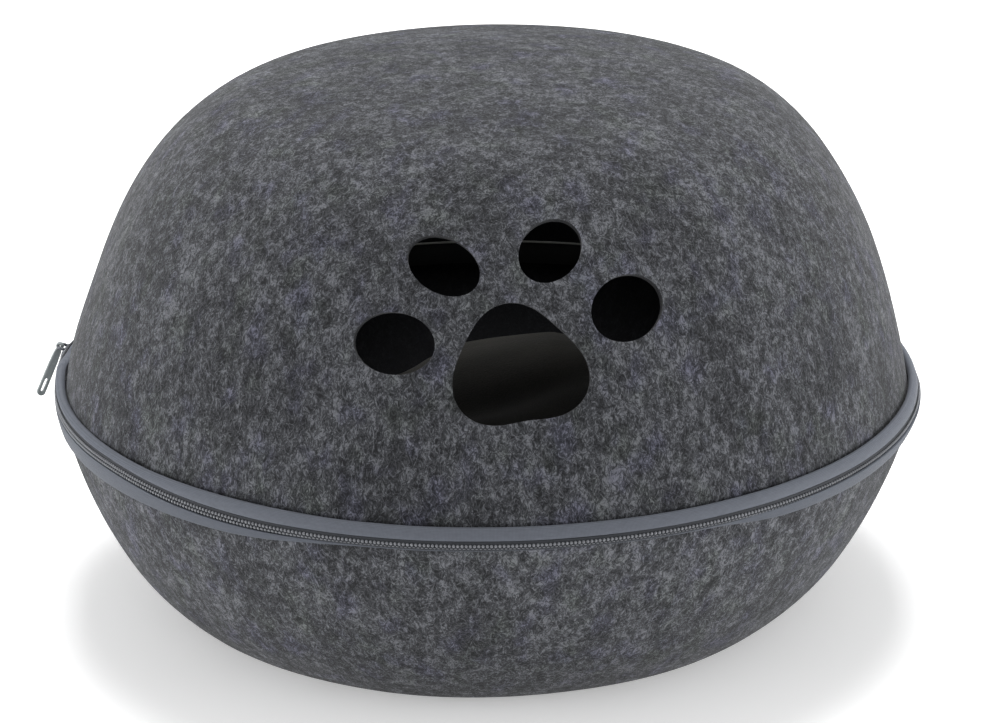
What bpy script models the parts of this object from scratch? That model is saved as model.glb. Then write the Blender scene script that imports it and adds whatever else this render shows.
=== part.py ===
"""Felt cat cave: a moulded felt dome zipped to a moulded felt bowl, with a round cushion inside.

Metres, +Z up. The origin is the centre of the bowl's flat bottom, and the paw holes face -Y.
The whole cave leans a little to +X: its axis moves by LEAN for each metre of height.
"""

import math

import bmesh
import bpy
from mathutils import Matrix, Vector

# The cave as a whole
SEGMENTS = 60
LEAN = 0.025
FELT = 0.004
GAP = 0.0004
ZIP_RADIUS = 0.250
ZIP_HEIGHT = 0.1235

# Outer line of the dome, from its rim up to the crown, as arcs that run on from each other
DOME_RIM_RADIUS = 0.2424
DOME_RIM_ABOVE_ZIP = 0.0023
DOME_RIM_TILT = 11.0
DOME_ARCS = (
    {"turn": 9.0, "radius": 0.490, "steps": 2},
    {"turn": 16.0, "radius": 0.236, "steps": 3},
    {"turn": 18.0, "radius": 0.125, "steps": 3},
    {"turn": 24.0, "radius": 0.095, "steps": 3},
)
CROWN_STEPS = 2

# Outer line of the bowl, from its rim down to the edge of its flat bottom
BOWL_RIM_RADIUS = 0.2465
BOWL_RIM_BELOW_ZIP = 0.0023
BOWL_RIM_TILT = 12.0
BOWL_ARCS = (
    {"turn": 18.0, "radius": 0.267, "steps": 3},
    {"turn": 20.0, "radius": 0.127, "steps": 2},
    {"turn": 20.0, "radius": 0.024, "steps": 2},
    {"turn": 20.0, "radius": 0.077, "steps": 2},
)

# Holes of the paw: azimuth runs from -Y towards +X, height is measured from the zip
PAW_TOES = (
    {"name": "toe_1", "azimuth": -13.5, "height": 0.0950, "long": 0.0415, "short": 0.0310, "turn": -3.0},
    {"name": "toe_2", "azimuth": -7.5, "height": 0.1310, "long": 0.0395, "short": 0.0280, "turn": -31.0},
    {"name": "toe_3", "azimuth": 8.9, "height": 0.1370, "long": 0.0365, "short": 0.0290, "turn": 48.0},
    {"name": "toe_4", "azimuth": 19.5, "height": 0.1085, "long": 0.0395, "short": 0.0325, "turn": 21.0},
)
TOE_CORNERS = 20
PAD = {"azimuth": 3.6, "height": 0.0845, "radius": 0.0322, "widen": 0.062, "lobes": 0.107, "turn": 8.6}
PAD_CORNERS = 30

# Entrance at the back
ENTRANCE = {"azimuth": 180.0, "height": 0.104, "width": 0.160}
ENTRANCE_CORNERS = 32
CUTTER_LENGTH = 0.060

# Sections of the zip, as radius and height from the zip's middle, outer side first
BAND_SECTION = (
    {"radius": 0.2436, "height": 0.0094},
    {"radius": 0.2462, "height": 0.0076},
    {"radius": 0.2479, "height": 0.0048},
    {"radius": 0.2483, "height": 0.0023},
    {"radius": 0.2431, "height": 0.0023},
    {"radius": 0.2417, "height": 0.0092},
)
COIL_SECTION = (
    {"radius": 0.2490, "height": 0.0019},
    {"radius": ZIP_RADIUS, "height": 0.0008},
    {"radius": ZIP_RADIUS, "height": -0.0024},
    {"radius": 0.2490, "height": -0.0034},
    {"radius": 0.2472, "height": -0.0034},
    {"radius": 0.2472, "height": 0.0019},
)
TAPE_SECTION = (
    {"radius": 0.2497, "height": -0.0038},
    {"radius": 0.2474, "height": -0.0096},
    {"radius": 0.2456, "height": -0.0096},
    {"radius": 0.2470, "height": -0.0038},
)

# Where the two ends of the zip meet, the trim stands out from the felt
ZIP_END_AZIMUTH = 168.0
ZIP_END_SPREAD = 8.0
ZIP_END_PROUD = 0.0044

# Slider: along the zip, out from it, and across it
SLIDER_AZIMUTH = 170.0
SLIDER_RADIUS = 0.2566
SLIDER_ABOVE_ZIP = 0.0018
SLIDER_TILT = 15.0
SLIDER_SIZE = {"along": 0.0105, "out": 0.0020, "across": 0.0094}
SLIDER_ROUNDING = 0.0008
BRIDGE_ACROSS = 0.0040
BRIDGE_SIZE = {"along": 0.0092, "out": 0.0042, "across": 0.0012}
BRIDGE_OPENING = {"along": 0.0068, "out": 0.0029}
BRIDGE_BAR = 0.0010

# Pull: a flat tab that hangs from the bridge by the hole in its round head
PULL_THICKNESS = 0.0014
PULL_LENGTH = 0.0310
PULL_HEAD_RADIUS = 0.0033
PULL_HOLE_RADIUS = 0.0021
PULL_HALF_WIDTHS = (
    {"along": 0.0036, "half_width": 0.0016},
    {"along": 0.0070, "half_width": 0.0019},
    {"along": 0.0110, "half_width": 0.0022},
)
PULL_TIP_HALF_WIDTH = 0.0025
PULL_SLOT = {"start": 0.0220, "end": 0.0285, "half_width": 0.0008}
PULL_SWING_AZIMUTH = 210.0
PULL_DROOP = 27.6
PULL_BELOW_BAR = 0.0006

# Cushion: a filled round with a seam round its widest line
CUSHION_RADIUS = 0.199
CUSHION_SEAM_HEIGHT = 0.050
CUSHION_CROWN = {"rise": 0.036, "fullness": 3.2, "steps": 4}
CUSHION_BELLY = {"rise": 0.055, "fullness": 2.6, "steps": 3}

MERGE = 0.00005


def clear_scene():
    for thing in list(bpy.data.objects):
        bpy.data.objects.remove(thing, do_unlink=True)


def new_collection(name):
    collection = bpy.data.collections.new(name)
    bpy.context.scene.collection.children.link(collection)
    return collection


def material(name, color, roughness, metallic=0.0):
    made = bpy.data.materials.new(name)
    made.use_nodes = True
    shader = made.node_tree.nodes["Principled BSDF"]
    shader.inputs["Base Color"].default_value = (*color, 1.0)
    shader.inputs["Roughness"].default_value = roughness
    shader.inputs["Metallic"].default_value = metallic
    return made


def arc_line(radius, height, tilt, arcs):
    """Points along tangent arcs that start tilted from upright and turn towards the axis."""
    points = [(radius, height)]
    for arc in arcs:
        step = arc["turn"] / arc["steps"]
        chord = 2.0 * arc["radius"] * math.sin(math.radians(step / 2.0))
        for _ in range(arc["steps"]):
            middle = math.radians(tilt + step / 2.0)
            radius -= chord * math.sin(middle)
            height += chord * math.cos(middle)
            tilt += step
            points.append((radius, height))
    return points, tilt


def dome_line():
    points, tilt = arc_line(DOME_RIM_RADIUS, DOME_RIM_ABOVE_ZIP, DOME_RIM_TILT, DOME_ARCS)
    radius, height = points[-1]
    crown_radius = radius / math.cos(math.radians(tilt))
    crown = {"turn": 90.0 - tilt, "radius": crown_radius, "steps": CROWN_STEPS}
    crown_points, _ = arc_line(radius, height, tilt, [crown])
    crown_points[-1] = (0.0, crown_points[-1][1])
    return points + crown_points[1:]


def bowl_line():
    points, _ = arc_line(BOWL_RIM_RADIUS, BOWL_RIM_BELOW_ZIP, BOWL_RIM_TILT, BOWL_ARCS)
    line = [(radius, ZIP_HEIGHT - depth) for radius, depth in points]
    bottom_radius = line[-1][0]
    line[-1] = (bottom_radius, 0.0)
    return line + [(0.0, 0.0)]


def dome_wall(height):
    """Outer radius and tilt of the dome's wall at a height above the zip."""
    line = dome_line()
    for (r0, z0), (r1, z1) in zip(line, line[1:]):
        if z0 <= height <= z1:
            share = (height - z0) / (z1 - z0)
            return r0 + share * (r1 - r0), math.degrees(math.atan2(r0 - r1, z1 - z0))
    raise ValueError("height is outside the dome")


def turned(name, line, closed, collection, look, thickness=0.0):
    """Turns a line of (radius, height) points round the axis and leans the result."""
    mesh = bpy.data.meshes.new(name)
    bm = bmesh.new()
    corners = [bm.verts.new((radius, 0.0, height)) for radius, height in line]
    for start, end in zip(corners, corners[1:]):
        bm.edges.new((start, end))
    if closed:
        bm.edges.new((corners[-1], corners[0]))
    bm.to_mesh(mesh)
    bm.free()
    profile = bpy.data.objects.new(name + "_line", mesh)
    bpy.context.scene.collection.objects.link(profile)
    screw = profile.modifiers.new("Turn", "SCREW")
    screw.steps = SEGMENTS
    screw.render_steps = SEGMENTS
    screw.use_merge_vertices = True
    screw.merge_threshold = MERGE
    if thickness:
        wall = profile.modifiers.new("Wall", "SOLIDIFY")
        wall.thickness = thickness
        wall.offset = -1.0
        wall.use_even_offset = True
    evaluated = profile.evaluated_get(bpy.context.evaluated_depsgraph_get())
    solid = bpy.data.meshes.new_from_object(evaluated)
    solid.name = name
    bpy.data.objects.remove(profile, do_unlink=True)
    solid.transform(Matrix.Shear("XY", 4, (LEAN, 0.0)))
    made = bpy.data.objects.new(name, solid)
    collection.objects.link(made)
    solid.materials.append(look)
    solid.shade_smooth()
    solid.set_sharp_from_angle(angle=math.radians(35.0))
    return made


def lean_at(height):
    return LEAN * height


def stand_out(ring):
    """Moves a zip ring outwards where the two ends of the zip meet."""
    centre = lean_at(ZIP_HEIGHT)
    for vertex in ring.data.vertices:
        x = vertex.co.x - centre
        y = vertex.co.y
        from_end = math.degrees(math.atan2(y, x)) - ZIP_END_AZIMUTH
        from_end = (from_end + 180.0) % 360.0 - 180.0
        proud = ZIP_END_PROUD * math.exp(-0.5 * (from_end / ZIP_END_SPREAD) ** 2)
        scale = 1.0 + proud / math.hypot(x, y)
        vertex.co.x = centre + x * scale
        vertex.co.y = y * scale


def wall_frame(azimuth, height):
    """Frame on the dome's wall: X level, Y up the wall, Z straight out of it."""
    radius, tilt = dome_wall(height)
    turn = math.radians(azimuth)
    world_height = ZIP_HEIGHT + height
    place = Vector((lean_at(world_height) + radius * math.sin(turn), -radius * math.cos(turn), world_height))
    facing = Matrix.Rotation(turn, 4, "Z") @ Matrix.Rotation(math.radians(90.0 - tilt), 4, "X")
    return Matrix.Translation(place) @ facing


def hole_cutter(name, outline, azimuth, height, collection):
    mesh = bpy.data.meshes.new(name)
    bm = bmesh.new()
    circle = bmesh.ops.create_circle(bm, cap_ends=True, radius=1.0, segments=len(outline))
    for vertex, (x, y) in zip(circle["verts"], outline):
        vertex.co = (x, y, -CUTTER_LENGTH / 2.0)
    wall = bmesh.ops.extrude_face_region(bm, geom=bm.faces[:])
    moved = [item for item in wall["geom"] if isinstance(item, bmesh.types.BMVert)]
    bmesh.ops.translate(bm, verts=moved, vec=(0.0, 0.0, CUTTER_LENGTH))
    bmesh.ops.recalc_face_normals(bm, faces=bm.faces[:])
    bm.to_mesh(mesh)
    bm.free()
    cutter = bpy.data.objects.new(name, mesh)
    cutter.matrix_world = wall_frame(azimuth, height)
    cutter.display_type = "WIRE"
    cutter.hide_render = True
    collection.objects.link(cutter)
    return cutter


def ellipse(long, short, turn, corners):
    points = []
    for index in range(corners):
        angle = 2.0 * math.pi * index / corners
        x = long / 2.0 * math.cos(angle)
        y = short / 2.0 * math.sin(angle)
        slope = math.radians(turn)
        points.append((x * math.cos(slope) - y * math.sin(slope), x * math.sin(slope) + y * math.cos(slope)))
    return points


def pad_outline():
    """A rounded triangle: a circle with three soft lobes, one of them up, and a little extra width."""
    points = []
    for index in range(PAD_CORNERS):
        angle = 2.0 * math.pi * index / PAD_CORNERS
        from_top = angle - math.radians(90.0 + PAD["turn"])
        size = 1.0 + PAD["widen"] * math.cos(2.0 * angle) + PAD["lobes"] * math.cos(3.0 * from_top)
        radius = PAD["radius"] * size
        points.append((radius * math.cos(angle), radius * math.sin(angle)))
    return points


def cut(target, cutter, operation="DIFFERENCE"):
    boolean = target.modifiers.new(cutter.name, "BOOLEAN")
    boolean.operation = operation
    boolean.solver = "EXACT"
    boolean.object = cutter


def make_dome(parts, cutters, look):
    line = [(radius, ZIP_HEIGHT + height) for radius, height in reversed(dome_line())]
    dome = turned("dome", line, False, parts, look, FELT)
    holes = []
    for toe in PAW_TOES:
        outline = ellipse(toe["long"], toe["short"], toe["turn"], TOE_CORNERS)
        holes.append(hole_cutter(toe["name"], outline, toe["azimuth"], toe["height"], cutters))
    holes.append(hole_cutter("pad", pad_outline(), PAD["azimuth"], PAD["height"], cutters))
    door = ellipse(ENTRANCE["width"], ENTRANCE["width"], 0.0, ENTRANCE_CORNERS)
    holes.append(hole_cutter("entrance", door, ENTRANCE["azimuth"], ENTRANCE["height"], cutters))
    for hole in holes:
        cut(dome, hole)


def make_bowl(parts, look):
    turned("bowl", bowl_line(), False, parts, look, FELT)


def make_zip_ring(name, section, parts, look):
    line = [(corner["radius"], ZIP_HEIGHT + corner["height"]) for corner in section]
    stand_out(turned(name, line, True, parts, look))


def slider_frame():
    """Frame on the slider: X along the zip, Y across it, Z straight out of the slider's face."""
    turn = math.radians(SLIDER_AZIMUTH)
    place = Vector((
        lean_at(ZIP_HEIGHT) + SLIDER_RADIUS * math.cos(turn),
        SLIDER_RADIUS * math.sin(turn),
        ZIP_HEIGHT + SLIDER_ABOVE_ZIP,
    ))
    facing = Matrix.Rotation(turn + math.radians(90.0), 4, "Z")
    facing = facing @ Matrix.Rotation(math.radians(90.0 - SLIDER_TILT), 4, "X")
    return Matrix.Translation(place) @ facing


def block(name, along, across, low, high, middle, collection):
    """A block in the slider's frame, from low to high out of its face."""
    size = Matrix.Diagonal((along, across, high - low, 1.0))
    mesh = bpy.data.meshes.new(name)
    bm = bmesh.new()
    bmesh.ops.create_cube(bm, size=1.0, matrix=Matrix.Translation((0.0, middle, (low + high) / 2.0)) @ size)
    bm.to_mesh(mesh)
    bm.free()
    made = bpy.data.objects.new(name, mesh)
    made.matrix_world = slider_frame()
    collection.objects.link(made)
    return made


def round_edges(thing, width):
    bevel = thing.modifiers.new("Round edges", "BEVEL")
    bevel.width = width
    bevel.segments = 2


def make_slider(parts, cutters, look):
    half = SLIDER_SIZE["out"] / 2.0
    body = block("zip_slider", SLIDER_SIZE["along"], SLIDER_SIZE["across"], -half, half, 0.0, parts)
    body.data.materials.append(look)
    round_edges(body, SLIDER_ROUNDING)
    top = half + BRIDGE_SIZE["out"]
    sunk = half - SLIDER_ROUNDING
    bridge = block(
        "bridge", BRIDGE_SIZE["along"], BRIDGE_SIZE["across"], sunk, top, BRIDGE_ACROSS, cutters
    )
    ceiling = top - BRIDGE_BAR
    opening = block(
        "bridge_opening", BRIDGE_OPENING["along"], 2.0 * BRIDGE_SIZE["across"],
        ceiling - BRIDGE_OPENING["out"], ceiling, BRIDGE_ACROSS, cutters,
    )
    for guide in (bridge, opening):
        guide.display_type = "WIRE"
        guide.hide_render = True
    cut(bridge, opening)
    cut(body, bridge, "UNION")


def pull_outline():
    """Outline of the tab: round head, narrow neck, widening tab and round tip, head at the origin."""
    first = PULL_HALF_WIDTHS[0]
    head_end = math.degrees(math.atan2(first["half_width"], first["along"]))
    side = []
    for index in range(7):
        angle = math.radians(180.0 + (head_end - 180.0) * index / 7.0)
        side.append((PULL_HEAD_RADIUS * math.cos(angle), PULL_HEAD_RADIUS * math.sin(angle)))
    side += [(station["along"], station["half_width"]) for station in PULL_HALF_WIDTHS]
    tip_centre = PULL_LENGTH - PULL_TIP_HALF_WIDTH
    for index in range(5):
        angle = math.radians(90.0 - 90.0 * index / 4.0)
        x = tip_centre + PULL_TIP_HALF_WIDTH * math.cos(angle)
        side.append((x, PULL_TIP_HALF_WIDTH * math.sin(angle)))
    return side + [(x, -y) for x, y in reversed(side[1:-1])]


def slot_outline():
    """A slot with round ends, along the tab."""
    points = []
    for centre, start in ((PULL_SLOT["end"], -90.0), (PULL_SLOT["start"], 90.0)):
        for index in range(4):
            angle = math.radians(start + 60.0 * index)
            x = centre + PULL_SLOT["half_width"] * math.cos(angle)
            points.append((x, PULL_SLOT["half_width"] * math.sin(angle)))
    return points


def make_pull(parts, look):
    curve = bpy.data.curves.new("zip_pull", "CURVE")
    curve.dimensions = "2D"
    curve.fill_mode = "BOTH"
    curve.extrude = PULL_THICKNESS / 2.0
    hole = ellipse(2.0 * PULL_HOLE_RADIUS, 2.0 * PULL_HOLE_RADIUS, 0.0, 12)
    for outline in (pull_outline(), hole, slot_outline()):
        spline = curve.splines.new("POLY")
        spline.points.add(len(outline) - 1)
        for point, (x, y) in zip(spline.points, outline):
            point.co = (x, y, 0.0, 1.0)
        spline.use_cyclic_u = True
    curve.materials.append(look)
    pull = bpy.data.objects.new("zip_pull", curve)
    bar_middle = SLIDER_SIZE["out"] / 2.0 + BRIDGE_SIZE["out"] - BRIDGE_BAR / 2.0
    head = slider_frame() @ Vector((0.0, BRIDGE_ACROSS, bar_middle))
    swing = math.radians(PULL_SWING_AZIMUTH)
    droop = math.radians(PULL_DROOP)
    level = Vector((math.cos(swing), math.sin(swing), 0.0))
    along = math.sin(droop) * level - math.cos(droop) * Vector((0.0, 0.0, 1.0))
    across = math.cos(droop) * level + math.sin(droop) * Vector((0.0, 0.0, 1.0))
    facing = Matrix((along, across, along.cross(across))).transposed().to_4x4()
    pull.matrix_world = Matrix.Translation(head + PULL_BELOW_BAR * along) @ facing
    parts.objects.link(pull)


def cushion_line():
    """Half section of the cushion, from the top of its crown round the seam to its flat bottom."""
    floor = FELT + GAP

    def surface(shape, radius):
        return shape["rise"] * math.sqrt(1.0 - (radius / CUSHION_RADIUS) ** shape["fullness"])

    line = []
    for index in range(CUSHION_CROWN["steps"]):
        radius = CUSHION_RADIUS * math.sin(math.pi / 2.0 * index / CUSHION_CROWN["steps"]) ** 0.6
        line.append((radius, CUSHION_SEAM_HEIGHT + surface(CUSHION_CROWN, radius)))
    line.append((CUSHION_RADIUS, CUSHION_SEAM_HEIGHT))
    depth = (CUSHION_SEAM_HEIGHT - floor) / CUSHION_BELLY["rise"]
    flat_radius = CUSHION_RADIUS * (1.0 - depth ** 2) ** (1.0 / CUSHION_BELLY["fullness"])
    for index in range(1, CUSHION_BELLY["steps"]):
        share = (1.0 - index / CUSHION_BELLY["steps"]) ** 0.5
        radius = flat_radius + (CUSHION_RADIUS - flat_radius) * share
        line.append((radius, CUSHION_SEAM_HEIGHT - surface(CUSHION_BELLY, radius)))
    return line + [(flat_radius, floor), (0.0, floor)]


def make_cushion(parts, look):
    turned("cushion", cushion_line(), False, parts, look)


def main():
    clear_scene()
    parts = new_collection("felt_cat_cave")
    cutters = new_collection("cutters")
    felt_dome = material("grey heather felt, dome", (0.085, 0.086, 0.092), 0.95)
    felt_bowl = material("grey heather felt, bowl", (0.080, 0.081, 0.086), 0.95)
    woven_upper = material("blue-grey woven band", (0.150, 0.165, 0.195), 0.75)
    woven_lower = material("blue-grey woven tape", (0.120, 0.135, 0.160), 0.75)
    coil = material("grey nylon coil", (0.200, 0.205, 0.220), 0.45)
    metal_slider = material("grey painted metal, slider", (0.120, 0.130, 0.145), 0.40, 0.6)
    metal_pull = material("grey painted metal, pull", (0.200, 0.220, 0.235), 0.40, 0.6)
    cover = material("dark cushion cover", (0.045, 0.042, 0.036), 0.95)
    make_dome(parts, cutters, felt_dome)
    make_bowl(parts, felt_bowl)
    make_zip_ring("zip_band_upper", BAND_SECTION, parts, woven_upper)
    make_zip_ring("zip_coil", COIL_SECTION, parts, coil)
    make_zip_ring("zip_tape_lower", TAPE_SECTION, parts, woven_lower)
    make_slider(parts, cutters, metal_slider)
    make_pull(parts, metal_pull)
    make_cushion(parts, cover)


main()
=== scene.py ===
import math

import bpy
from mathutils import Matrix, Vector, noise


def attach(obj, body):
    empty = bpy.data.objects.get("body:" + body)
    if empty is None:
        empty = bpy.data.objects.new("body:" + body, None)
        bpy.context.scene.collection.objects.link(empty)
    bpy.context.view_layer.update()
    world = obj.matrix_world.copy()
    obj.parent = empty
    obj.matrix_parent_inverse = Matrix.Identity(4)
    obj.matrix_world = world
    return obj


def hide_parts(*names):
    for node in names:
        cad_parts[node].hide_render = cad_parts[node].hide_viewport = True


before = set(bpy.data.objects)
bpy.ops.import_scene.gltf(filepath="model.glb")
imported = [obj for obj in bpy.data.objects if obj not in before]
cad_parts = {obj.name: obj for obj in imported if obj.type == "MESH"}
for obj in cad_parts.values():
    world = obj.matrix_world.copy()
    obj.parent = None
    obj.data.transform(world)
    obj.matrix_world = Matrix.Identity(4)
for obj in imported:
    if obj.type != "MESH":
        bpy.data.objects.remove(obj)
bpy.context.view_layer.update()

lean = 0.025  # sideways shift for each metre of height
felt = {"thickness": 0.004, "segments": 192, "rowLength": 0.007, "uneven": 0.0005, "fuller": 0.0026, "rimFuller": 0.0026}
zipRing = {"radius": 0.250, "height": 0.1235, "endAzimuth": 168.0, "endSpread": 8.0, "endProud": 0.0044}


def deselectAll():
    if bpy.context.object and bpy.context.object.mode != "OBJECT":
        bpy.ops.object.mode_set(mode="OBJECT")
    bpy.ops.object.select_all(action="DESELECT")


def pick(piece):
    deselectAll()
    piece.select_set(True)
    bpy.context.view_layer.objects.active = piece


def editAll(piece):
    pick(piece)
    bpy.ops.object.mode_set(mode="EDIT")
    bpy.ops.mesh.select_all(action="SELECT")


def addModifier(piece, kind, **settings):
    modifier = piece.modifiers.new(kind.title(), kind)
    for name, value in settings.items():
        setattr(modifier, name, value)
    pick(piece)
    bpy.ops.object.modifier_apply(modifier=modifier.name)


def joinPieces(first, others):
    pick(first)
    for other in others:
        other.select_set(True)
    bpy.ops.object.join()
    return first


def drawProfile(name, points, closed=False):  # one vertex, extruded from point to point
    deselectAll()
    bpy.ops.mesh.primitive_plane_add(size=0.001, location=(0, 0, 0))
    piece = bpy.context.object
    piece.name = piece.data.name = name
    bpy.ops.object.mode_set(mode="EDIT")
    bpy.ops.mesh.select_all(action="SELECT")
    bpy.ops.mesh.merge(type="CENTER")
    bpy.ops.transform.translate(value=points[0])
    line = list(points) + [points[0]] * closed
    for here, there in zip(line, line[1:]):
        step = [b - a for a, b in zip(here, there)]
        bpy.ops.mesh.extrude_region_move(TRANSFORM_OT_translate={"value": step})
    if closed:
        bpy.ops.mesh.select_all(action="SELECT")
        bpy.ops.mesh.remove_doubles(threshold=0.000002)
    bpy.ops.object.mode_set(mode="OBJECT")
    return piece


def spinRound(piece, steps):
    editAll(piece)
    bpy.ops.mesh.spin(steps=steps, angle=2 * math.pi, center=(0, 0, 0), axis=(0, 0, 1))
    bpy.ops.mesh.select_all(action="SELECT")
    bpy.ops.mesh.remove_doubles(threshold=0.00002)
    bpy.ops.mesh.normals_make_consistent(inside=False)
    bpy.ops.object.mode_set(mode="OBJECT")


def smooth(piece, degrees=35):
    pick(piece)
    bpy.ops.object.shade_smooth_by_angle(angle=math.radians(degrees))


def leanOver(piece):
    for vertex in piece.data.vertices:
        vertex.co.x += lean * vertex.co.z


def standOut(piece):  # the zip bulges where its two ends meet
    centre = lean * zipRing["height"]
    for vertex in piece.data.vertices:
        x, y = vertex.co.x - centre, vertex.co.y
        fromEnd = (math.degrees(math.atan2(y, x)) - zipRing["endAzimuth"] + 180) % 360 - 180
        proud = zipRing["endProud"] * math.exp(-0.5 * (fromEnd / zipRing["endSpread"]) ** 2)
        size = 1 + proud / math.hypot(x, y)
        vertex.co.x, vertex.co.y = centre + x * size, y * size


def finishPiece(piece, node, material):
    piece.data.materials.clear()
    piece.data.materials.append(material)
    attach(piece, "root")
    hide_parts(node)


# shader helpers
def addNode(tree, kind, inputs=None, **settings):
    node = tree.nodes.new("ShaderNode" + kind)
    for name, value in settings.items():
        setattr(node, name, value)
    for name, value in (inputs or {}).items():
        if isinstance(value, bpy.types.NodeSocket):
            tree.links.new(value, node.inputs[name])
        else:
            node.inputs[name].default_value = value
    return node


def calc(tree, operation, *values, clamp=False):
    node = addNode(tree, "Math", dict(enumerate(values)), operation=operation, use_clamp=clamp)
    return node.outputs[0]


def calcVector(tree, operation, *values):
    node = addNode(tree, "VectorMath", dict(enumerate(values)), operation=operation)
    return node.outputs["Value" if operation in ("DOT_PRODUCT", "LENGTH") else "Vector"]


def spread(tree, value, low, high, first=0.0, last=1.0):
    inputs = {"Value": value, "From Min": low, "From Max": high, "To Min": first, "To Max": last}
    return addNode(tree, "MapRange", inputs, interpolation_type="SMOOTHSTEP").outputs[0]


def blendColor(tree, factor, first, second, kind="MIX"):
    node = addNode(tree, "Mix", {0: factor, 6: first, 7: second}, data_type="RGBA", blend_type=kind)
    return node.outputs[2]


def noiseAt(tree, vector, scale, detail=2.0, output="Fac", roughness=0.5, distortion=0.0):
    inputs = {"Vector": vector, "Scale": scale, "Detail": detail, "Roughness": roughness, "Distortion": distortion}
    return addNode(tree, "TexNoise", inputs).outputs[output]


def startGroup(name, inputs, outputs):
    tree = bpy.data.node_groups.new(name, "ShaderNodeTree")
    for label, kind, value in inputs:
        socket = tree.interface.new_socket(label, in_out="INPUT", socket_type="NodeSocket" + kind)
        if value is not None:
            socket.default_value = value
    for label, kind in outputs:
        tree.interface.new_socket(label, in_out="OUTPUT", socket_type="NodeSocket" + kind)
    return tree, tree.nodes.new("NodeGroupInput").outputs, tree.nodes.new("NodeGroupOutput")


def fill(tree, target, **sockets):
    for name, socket in sockets.items():
        tree.links.new(socket, target.inputs[name])


def useGroup(tree, group, inputs):
    node = tree.nodes.new("ShaderNodeGroup")
    node.node_tree = group
    for name, value in inputs.items():
        if isinstance(value, bpy.types.NodeSocket):
            tree.links.new(value, node.inputs[name])
        else:
            node.inputs[name].default_value = value
    return node.outputs


def startMaterial(name, **sockets):
    material = bpy.data.materials.new(name)
    material.use_nodes = True
    tree = material.node_tree
    shader = tree.nodes["Principled BSDF"]
    for label, value in sockets.items():
        shader.inputs[label.replace("_", " ")].default_value = value
    return material, tree, shader


def addBump(tree, shader, height, strength, distance):
    bump = addNode(tree, "Bump", {"Height": height, "Strength": strength, "Distance": distance})
    tree.links.new(bump.outputs[0], shader.inputs["Normal"])


def makeFibreLayer():  # one layer of short loose fibres that lie flat on the surface
    tree, given, made = startGroup(
        "fibre layer",
        [("Vector", "Vector", None), ("Normal", "Vector", None), ("Scale", "Float", 200.0), ("Width", "Float", 0.0004), ("Shift", "Vector", None)],
        [("Mask", "Float"), ("Tone", "Float")],
    )
    place = calcVector(tree, "ADD", given["Vector"], given["Shift"])
    cells = addNode(tree, "TexVoronoi", {"Vector": place, "Scale": given["Scale"]}, feature="F1").outputs
    offset = calcVector(tree, "SUBTRACT", place, cells["Position"])
    turned = calcVector(tree, "SUBTRACT", cells["Color"], (0.5, 0.5, 0.5))
    across = calcVector(tree, "NORMALIZE", calcVector(tree, "CROSS_PRODUCT", given["Normal"], turned))
    away = calc(tree, "ABSOLUTE", calcVector(tree, "DOT_PRODUCT", offset, across))
    mask = spread(tree, away, calc(tree, "MULTIPLY", given["Width"], 0.3), given["Width"], 1.0, 0.0)
    tone = addNode(tree, "SeparateColor", {0: cells["Color"]}).outputs[2]
    fill(tree, made, Mask=mask, Tone=tone)
    return tree


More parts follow.
